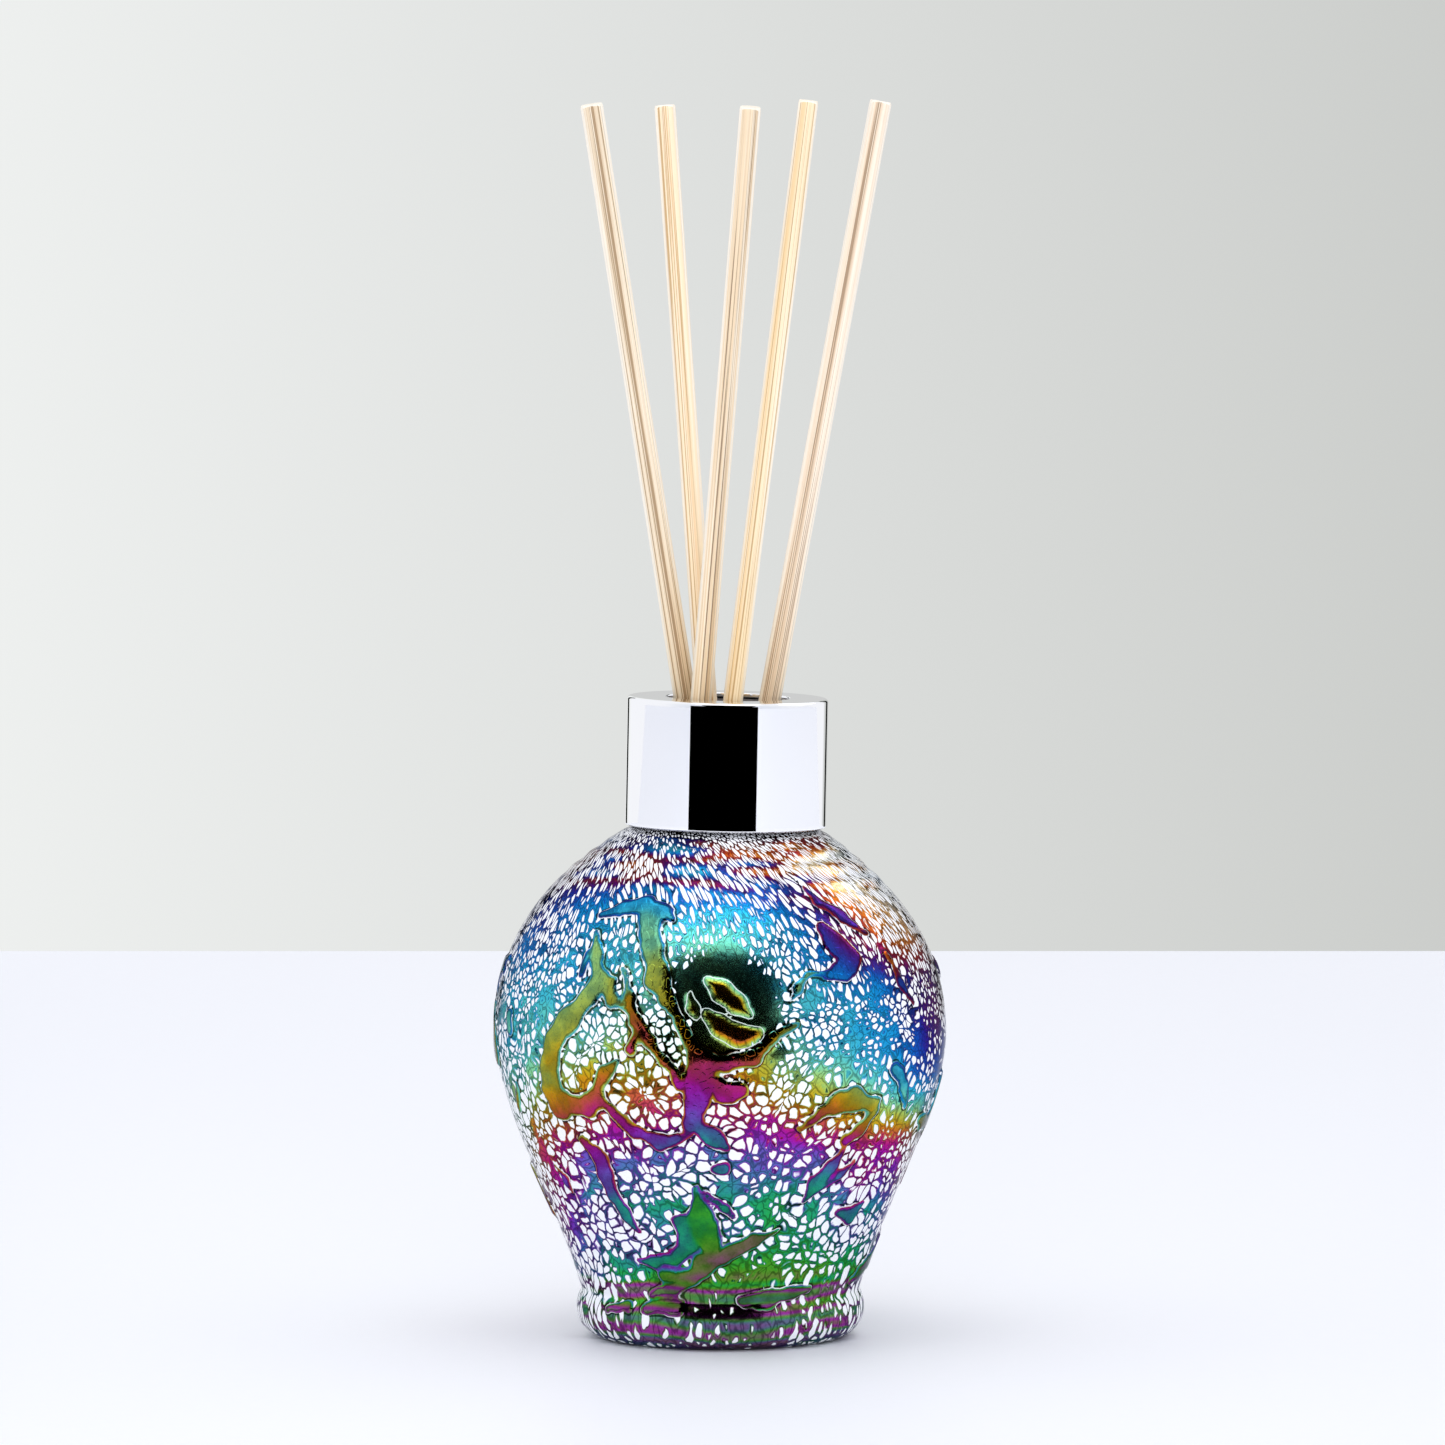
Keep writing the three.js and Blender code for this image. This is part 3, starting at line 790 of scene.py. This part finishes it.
def glass_material():
    """White opal glass under a crackled metallic lustre, with solid trails."""
    graph = Graph.material("iridescent_glass")
    crackle = graph.read("crackle", "Vector")
    place = graph.place()
    grain = graph.noise(place, 2500.0, detail=3.0, roughness=0.7)
    cloud = graph.noise(place, 260.0, detail=2.0)

    # distances in millimetres to the edges of trails and lenses, roughened a little
    ragged = graph.noise(place, 800.0, detail=2.0)
    ragged = graph.math("MULTIPLY_ADD", ragged, 0.5, -0.25)
    trail = graph.math("ADD", graph.read("trail"), ragged)
    lens = graph.math("ADD", graph.read("lens"), graph.times(ragged, 0.5))
    solid = graph.ramp(trail, 0.05, -0.05)

    wall, inward = crackle_cells(graph, crackle, graph.read("web"))
    hole, bare = bare_glass(graph, place, inward, trail, lens, solid)
    lustre = interference_colour(graph, tapered_film(graph, grain, cloud, inward, trail, lens, solid))
    # painted shade darkens the lustre towards black
    shade = film_shade(graph, place, grain, cloud, wall, inward, trail, solid)
    lustre = graph.mix(shade, BLACK, lustre)
    milky = graph.noise(crackle, 0.4)
    opal = graph.mix(milky, (0.86, 0.88, 0.93, 1), (0.93, 0.94, 0.96, 1))

    pits = graph.noise(place, 900.0, detail=3.0)
    relief = graph.bump(hole, 0.4, 0.12 * MM)
    relief = graph.bump(pits, 0.2, 0.12 * MM, relief)
    return graph.finish(Base_Color=graph.mix(bare, lustre, opal),
                        Metallic=graph.math("SUBTRACT", 1.0, bare),
                        Roughness=graph.blend(bare, graph.blend(solid, 0.16, 0.11), 0.09),
                        Normal=relief, Coat_Weight=0.1, Coat_Roughness=0.04, IOR=1.52,
                        Specular_Tint=(0.35, 0.38, 0.48, 1))


# ---- collar

def chrome_material():
    """Mirror-bright plating with a trace of haze and fine wiping marks."""
    graph = Graph.material("chromed_collar")
    place = graph.place()
    stretched = graph.vector("MULTIPLY", place, (300.0, 300.0, 3000.0))
    marks = graph.noise(stretched, 1.0, detail=4.0, roughness=0.7)
    haze = graph.noise(place, 60.0, detail=2.0)
    rough = graph.math("MULTIPLY_ADD", marks, 0.02, graph.math("MULTIPLY_ADD", haze, 0.015, 0.004))
    tone = graph.mix(haze, (0.93, 0.94, 0.96, 1), (0.97, 0.975, 0.985, 1))
    return graph.finish(Base_Color=tone, Metallic=1.0, Roughness=rough)


COLLAR_COLUMNS = 192


def make_collar_shell():
    """Smooth shell with rounded edges, the same size as its CAD node."""
    heights, radii = about_neck("collar_shell")
    low, high = heights.min(), heights.max()
    inner, outer = radii.min(), radii.max()
    wall, top = 1.0, 0.7
    edge, low_edge = 0.6, 0.35           # radii of the rounded upper and lower edges
    # lower edge, from inside to outside
    outline = [(outer - wall, low + 0.25), (outer - wall + 0.08, low + 0.08), (outer - wall + 0.25, low)]
    outline += [(outer - 0.45, low)]
    outline += [(outer - low_edge + low_edge * math.sin(a), low + low_edge - low_edge * math.cos(a))
                for a in np.linspace(0.2, math.pi / 2, 6)]
    # side and upper edge
    outline += [(outer, low + z) for z in np.linspace(0.8, high - low - edge - 0.4, 8)]
    outline += [(outer - edge + edge * math.cos(a), high - edge + edge * math.sin(a))
                for a in np.linspace(0, math.pi / 2, 10)]
    # top and the edge of its hole
    outline += [(outer - edge - 0.6, high), ((outer + inner) / 2, high), (inner + 0.6, high)]
    outline += [(inner + 0.2, high), (inner + 0.06, high - 0.06), (inner, high - 0.2)]
    outline += [(inner, high - top + 0.1), (inner + 0.1, high - top), (inner + 1.0, high - top)]
    # inside
    outline += [(outer - wall - 0.8, high - top), (outer - wall, high - top - 0.8)]
    outline += [(outer - wall, low + 8), (outer - wall, low + 0.8)]
    faces = grid_faces(len(outline), COLLAR_COLUMNS, close_rows=True)
    piece = smooth_mesh("collar_chrome", to_neck(ring_points(outline, COLLAR_COLUMNS)), faces)
    piece.data.materials.append(chrome_material())
    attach(piece, "collar")
    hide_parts("collar_shell")


# ---- reeds

# Darker fibres, paler fibres and vessels of each reed.
REED_TONES = [
    ((0.70, 0.53, 0.35, 1), (0.93, 0.80, 0.60, 1), (0.36, 0.23, 0.12, 1)),
    ((0.90, 0.66, 0.40, 1), (0.98, 0.82, 0.58, 1), (0.55, 0.34, 0.15, 1)),
    ((0.56, 0.40, 0.24, 1), (0.86, 0.67, 0.45, 1), (0.22, 0.13, 0.07, 1)),
    ((0.85, 0.61, 0.33, 1), (0.95, 0.77, 0.51, 1), (0.50, 0.30, 0.12, 1)),
    ((0.76, 0.58, 0.41, 1), (0.94, 0.80, 0.64, 1), (0.36, 0.24, 0.15, 1)),
]
SOAKED = (0.92, 0.85, 0.73, 1)           # tint of the lower part, which stands in oil
SOAK_LOW, SOAK_HIGH = 90, 135            # fully soaked up to the first, dry above the second
FIBRE_LENGTH = 400.0                     # one unit of the fibre pattern along a reed
CHAMFER = 0.5                            # length of the worn edge at each end


def reed_material(number):
    """Bare rattan: pale fibres and darker vessels that run along the reed, and painted light: pale sides
    and cut ends.
    """
    dark, pale, vessel = REED_TONES[number - 1]
    graph = Graph.material(f"rattan_{number}")
    fibre = graph.read("fibre", "Vector")
    broad = graph.noise(fibre, 0.8, detail=2.0)
    fine = graph.noise(fibre, 3.0, detail=2.0, roughness=0.6)
    thin = graph.noise(fibre, 6.0, detail=2.0, roughness=0.6)
    tone = graph.mix(graph.ramp(broad, 0.38, 0.60), dark, pale)
    tone = graph.mix(graph.ramp(thin, 0.48, 0.34, 0.0, 0.7), tone, (1.0, 0.92, 0.77, 1))
    tone = graph.mix(graph.ramp(fine, 0.52, 0.58, 0.0, 0.85), tone, vessel)
    # painted light: paler where the reed turns to the left and right, seen from the front, and on its
    # cut ends
    side = graph.ramp(graph.read("side"), 0.70, 0.86, 0.0, 0.75)
    tone = graph.mix(side, tone, (1.0, 0.95, 0.84, 1))
    tone = graph.mix(graph.read("soak"), tone, SOAKED, kind="MULTIPLY")
    relief = graph.bump(fine, 0.7, 0.15 * MM)
    rough = graph.math("MULTIPLY_ADD", broad, 0.2, 0.5)
    return graph.finish(Base_Color=tone, Roughness=rough, Normal=relief, Specular_IOR_Level=0.35)


def reed_frame(number):
    """A reed's lower end, unit axis, length and radius, from its CAD node and joint."""
    points = node_points(f"reed_{number}")
    axis = np.array(JOINTS[f"reed_{number}_pull"]["axis"])
    axis /= np.linalg.norm(axis)
    middle = points.mean(axis=0)
    along = (points - middle) @ axis
    away = np.linalg.norm(points - middle - along[:, None] * axis, axis=1)
    return middle + axis * along.min(), axis, along.max() - along.min(), away.max()


def reed_section(number, angles, radius):
    """Radius of a reed's section at each bearing: slightly oval, with shallow flutes."""
    chance = np.random.default_rng(70 + number)
    flute = sum(chance.uniform(0.2, 1.0) * np.cos(k * angles + chance.uniform(0, 6.3))
                for k in range(9, 24)) / 15
    oval = 0.03 * np.cos(2 * angles + chance.uniform(0, 6.3)) + 0.01
    return radius * (1 + oval + 0.055 * flute)


def make_reed(number):
    """A fluted rod with a slightly uneven section, cut square and a little rough at both ends."""
    foot, axis, length, radius = reed_frame(number)
    columns, rows = 72, 90
    angles, east, north = bearings(columns)
    side = np.cross(axis, (0, 1, 0))
    side /= np.linalg.norm(side)
    front = np.cross(axis, side)
    outward = east[:, None] * side + north[:, None] * front
    section = reed_section(number, angles, radius)
    levels = np.linspace(CHAMFER, length - CHAMFER, rows)
    levels = np.concatenate([[0, 0.12], levels, [length - 0.12, length]])
    points, fibres, sides, soaks = [], [], [], []
    for level in levels:
        end = min(level, length - level)
        ring = section * (1 if end >= CHAMFER else 0.9 + 0.1 * min(1, end / 0.25))
        swell = 1 + 0.012 * math.sin(level / 17 + number) + 0.006 * math.sin(level / 5.3)
        ring = ring * swell
        points.append(foot + axis * level + ring[:, None] * outward)
        along = np.full(columns, level / FIBRE_LENGTH)
        fibres.append(np.stack([section * east, section * north, along], axis=1))
        # painted light: 1 at the sides that face left and right, seen from the front, and on the cut
        # ends
        sides.append(np.maximum(np.abs(east), 1.0 if end < 0.3 else 0.0))
        soaks.append(np.full(columns, smoothstep(SOAK_HIGH, SOAK_LOW, level)))
    points.append([foot, foot + axis * length])
    fibres.append([[0, 0, 0], [0, 0, length / FIBRE_LENGTH]])
    sides.append([1, 1])
    soaks.append([1, 0])
    faces = [tuple(reversed(face)) for face in body_faces(len(levels), columns)]
    piece = smooth_mesh(f"rattan_reed_{number}", np.concatenate(points), faces)
    for polygon in piece.data.polygons:
        if len(polygon.vertices) == 3:
            polygon.use_smooth = False
    attribute(piece, "fibre", np.concatenate(fibres) + np.array([0, 0, 10.0 * number]))
    attribute(piece, "side", np.concatenate(sides))
    attribute(piece, "soak", np.concatenate(soaks))
    piece.data.materials.append(reed_material(number))
    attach(piece, f"reed_body_{number}")
    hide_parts(f"reed_{number}")


# ---- studio

def make_camera():
    """Long lens from just above, at the height of the reeds' tops."""
    distance, height = 1700.0, 221.0
    aim = Vector((0.33, 0, 102.7))
    view_width, sensor = 240.8, 36
    camera = bpy.data.objects.new("camera", bpy.data.cameras.new("camera"))
    bpy.context.scene.collection.objects.link(camera)
    place = Vector((aim.x, -distance, height))
    camera.location = place * MM
    camera.rotation_euler = (aim - place).to_track_quat("-Z", "Y").to_euler()
    camera.data.sensor_width = sensor
    camera.data.lens = sensor * (aim - place).length / view_width
    camera.data.clip_end = 20
    bpy.context.scene.camera = camera


def stage_sheet(name, corners, material):
    """A flat stage object, with its corners in metres."""
    mesh = bpy.data.meshes.new(name)
    mesh.from_pydata(corners, [], [tuple(range(len(corners)))])
    sheet = bpy.data.objects.new(name, mesh)
    bpy.context.scene.collection.objects.link(sheet)
    mesh.materials.append(material)
    return sheet


def black_flag(name, corners):
    """Black card that only shows in reflections."""
    graph = Graph.material(name)
    sheet = stage_sheet(name, corners, graph.finish(Base_Color=(0, 0, 0, 1), Roughness=1.0,
                                                    Specular_IOR_Level=0.0))
    for kind in ("camera", "diffuse", "shadow", "transmission", "volume_scatter"):
        setattr(sheet, "visible_" + kind, False)
    return sheet


def black_disc(name, bearing, elevation, distance, half_angle):
    """Round black card that faces the object, seen from it in the given direction."""
    bearing, elevation = math.radians(bearing), math.radians(elevation)
    level = math.cos(elevation)
    out = Vector((math.sin(bearing) * level, -math.cos(bearing) * level, math.sin(elevation)))
    side = out.cross(Vector((0, 0, 1))).normalized()
    above = side.cross(out)
    radius = distance * math.tan(math.radians(half_angle))
    turns = [2 * math.pi * step / 48 for step in range(48)]
    return black_flag(name, [out * distance + (side * math.cos(turn) + above * math.sin(turn)) * radius
                             for turn in turns])


def make_stage():
    """White table, and black cards round the camera and behind the object that it mirrors."""
    graph = Graph.material("table")
    place = graph.place()
    speck = graph.noise(place, 400.0, detail=2.0)
    tone = graph.mix(speck, (0.90, 0.915, 0.965, 1), (0.925, 0.935, 0.985, 1))
    table = graph.finish(Base_Color=tone, Roughness=0.5)
    back, front, side = 0.70, -2.6, 2.6
    stage_sheet("table", [(-side, front, 0), (side, front, 0), (side, back, 0), (-side, back, 0)], table)

    left, right = math.tan(math.radians(43)), math.tan(math.radians(35))
    near, far, top, lift = 0.31, 1.9, 0.46, 0.0005
    black_flag("flag_camera", [(-left * far, -far, 0), (right * far, -far, 0),
                               (right * far, -far, top), (-left * far, -far, top)])
    black_flag("flag_table", [(-left * near, -near, lift), (-left * far, -far, lift),
                              (right * far, -far, lift), (right * near, -near, lift)])
    disc = black_disc("flag_disc", bearing=2, elevation=27, distance=2.0, half_angle=29)
    disc.visible_shadow = True
    behind, height, half_width = 0.69, 0.4, 0.065
    for name, middle in (("flag_left", -0.265), ("flag_right", 0.265)):
        west, east = middle - half_width, middle + half_width
        black_flag(name, [(west, behind, 0), (east, behind, 0), (east, behind, height),
                          (west, behind, height)])


WARM, COOL = (1.0, 0.975, 0.94), (0.93, 0.96, 1.0)


def soft_light(name, place, size, energy, colour=WARM):
    """Square area light that faces the collar. Its place and size are in metres."""
    light = bpy.data.lights.new(name, "AREA")
    light.size = size
    light.energy = energy
    light.color = colour
    lamp = bpy.data.objects.new(name, light)
    lamp.location = place
    towards = Vector((0, 0, 90 * MM)) - Vector(place)
    lamp.rotation_euler = towards.to_track_quat("-Z", "Y").to_euler()
    bpy.context.scene.collection.objects.link(lamp)
    return lamp


def make_light():
    """An even white tent with a pale grey backdrop behind the table, and three soft lights."""
    world = bpy.data.worlds.new("tent")
    bpy.context.scene.world = world
    graph = Graph(world, "OutputWorld")
    direction = graph.node("TexCoord").outputs["Generated"]
    axes = graph.node("SeparateXYZ", {"Vector": direction}).outputs
    # painted light: the backdrop that the camera sees is lighter at the left and darker at the right
    across = graph.ramp(axes["X"], -0.1, 0.1, kind="LINEAR")
    backdrop = graph.mix(across, (0.905, 0.922, 0.914, 1), (0.55, 0.562, 0.544, 1))
    facing = graph.ramp(axes["Y"], -0.80, -0.10)
    walls = graph.mix(facing, (0.79, 0.82, 0.90, 1), (0.95, 0.955, 0.985, 1))
    behind = graph.ramp(axes["Y"], 0.80, 0.90)
    straight_behind = graph.ramp(axes["Y"], 0.985, 0.995)
    tent = graph.mix(straight_behind, graph.mix(behind, walls, backdrop), (0.62, 0.625, 0.62, 1))
    seen = graph.node("LightPath").outputs["Is Camera Ray"]
    background = graph.node("Background", {"Color": graph.mix(seen, tent, backdrop), "Strength": 1.0})
    graph.put(graph.output.inputs["Surface"], background.outputs[0])

    soft_light("overhead", place=(0.0, -0.45, 1.45), size=1.2, energy=4.5)
    side = soft_light("upper_right", place=(1.0, 0.6, 1.15), size=0.9, energy=4.5)
    side.visible_diffuse = False
    fill = soft_light("front_fill", place=(0.0, -1.85, 0.30), size=1.0, energy=13.0, colour=COOL)
    fill.visible_glossy = False
    bpy.context.scene.view_settings.view_transform = "Standard"


# ---- assembly

def simple_material(name, dark, pale, roughness, metallic):
    """A plain moulded or turned surface with a fine mottle."""
    graph = Graph.material(name)
    place = graph.place()
    mottle = graph.noise(place, 900.0, detail=3.0)
    rough = graph.math("MULTIPLY_ADD", mottle, 0.12, roughness - 0.06)
    relief = graph.bump(mottle, 0.2, 0.05 * MM)
    return graph.finish(Base_Color=graph.mix(mottle, dark, pale), Metallic=metallic, Roughness=rough,
                        Normal=relief)


def dress(node, material):
    """Gives a carried-over CAD node its material."""
    mesh = frame["nodes"][node].data
    mesh.materials.clear()
    mesh.materials.append(material)


# CAD nodes that keep their shapes: material, darker and paler tone, roughness and metallic.
CARRIED_OVER = {
    "collar_insert": ("insert_plastic", (0.16, 0.16, 0.18, 1), (0.22, 0.22, 0.24, 1), 0.4, 0.0),
    "neck_ferrule": ("ferrule_metal", (0.62, 0.63, 0.65, 1), (0.74, 0.75, 0.77, 1), 0.3, 1.0),
    "collar_washer": ("washer_foam", (0.80, 0.79, 0.75, 1), (0.90, 0.89, 0.86, 1), 0.8, 0.0),
}

make_camera()
glass = make_glass()
glass.data.materials.append(glass_material())
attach(glass, "bottle")
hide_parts("glass_bottle")

make_collar_shell()
for node_name, look in CARRIED_OVER.items():
    dress(node_name, simple_material(*look))
for reed_number in range(1, 6):
    make_reed(reed_number)

make_stage()
make_light()
